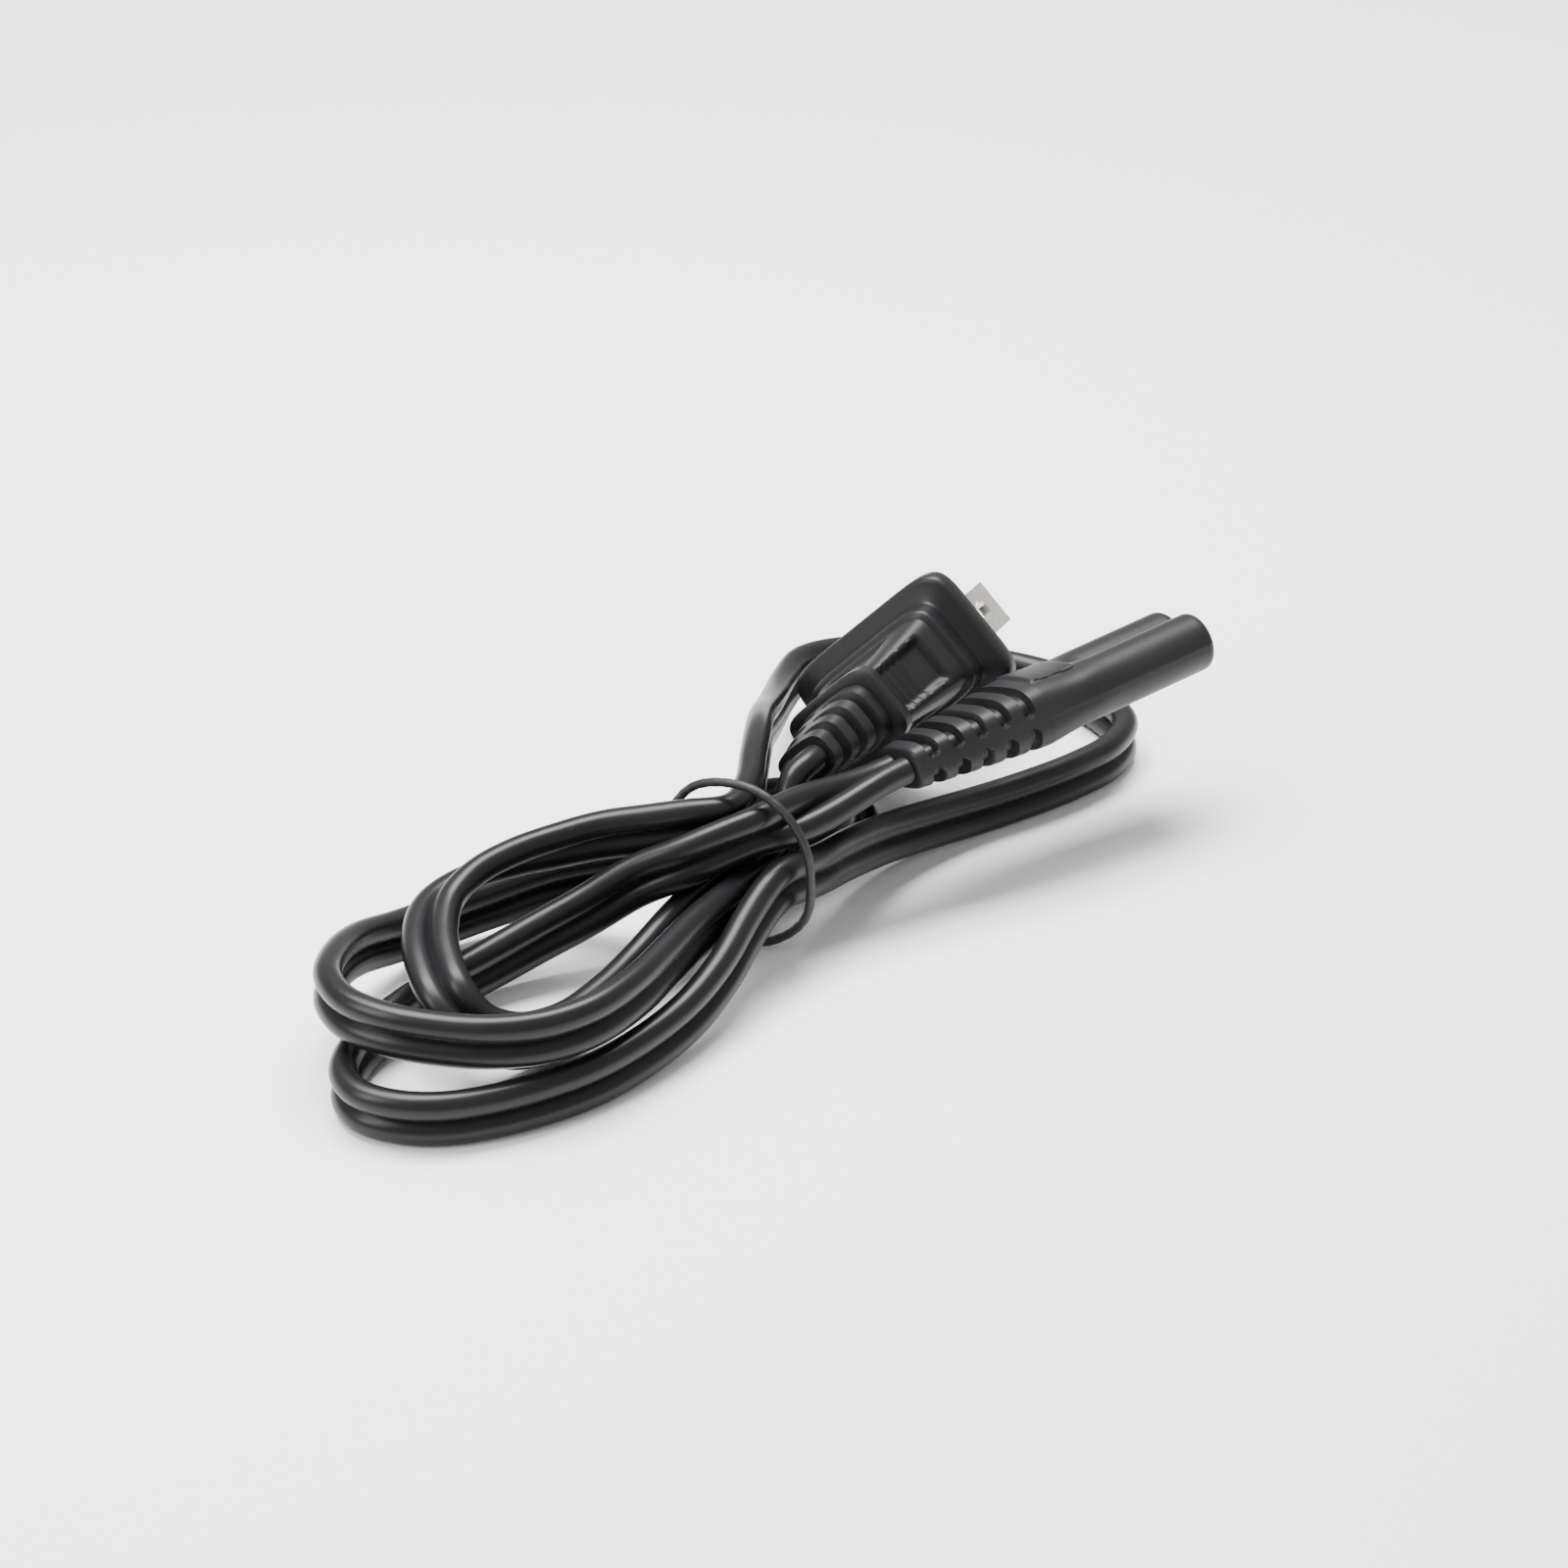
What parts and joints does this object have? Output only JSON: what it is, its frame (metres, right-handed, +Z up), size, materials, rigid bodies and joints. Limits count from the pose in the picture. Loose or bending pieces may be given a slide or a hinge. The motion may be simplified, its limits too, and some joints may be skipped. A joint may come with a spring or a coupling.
{
  "type": "power cord",
  "caption": "Flat two-core power cord with a two-blade wall plug and a figure-eight appliance connector, wound into a hank in a thin band.",
  "frame": {"origin": "on the floor, under the middle of the whole hank", "axes": "+Z up; +X along the hank, towards the end where the plug and the connector lie; +Y across it, to the side where the plug lies"},
  "size_m": [0.133, 0.0568, 0.0302],
  "materials": {
    "cord": "satin-gloss black PVC",
    "plug_body": "fine-textured black moulding",
    "connector_body": "fine-textured black moulding",
    "blades": "pale plated brass",
    "contacts": "plated brass",
    "tie_band": "black elastic band"
  },
  "bodies": {
    "root": {"cord": "cord", "plug_body": "plug_body", "blade_left": "blades", "blade_right": "blades", "connector_body": "connector_body", "contact_sleeve_left": "contacts", "contact_sleeve_right": "contacts", "tie_band": "tie_band"}
  },
  "joints": []
}
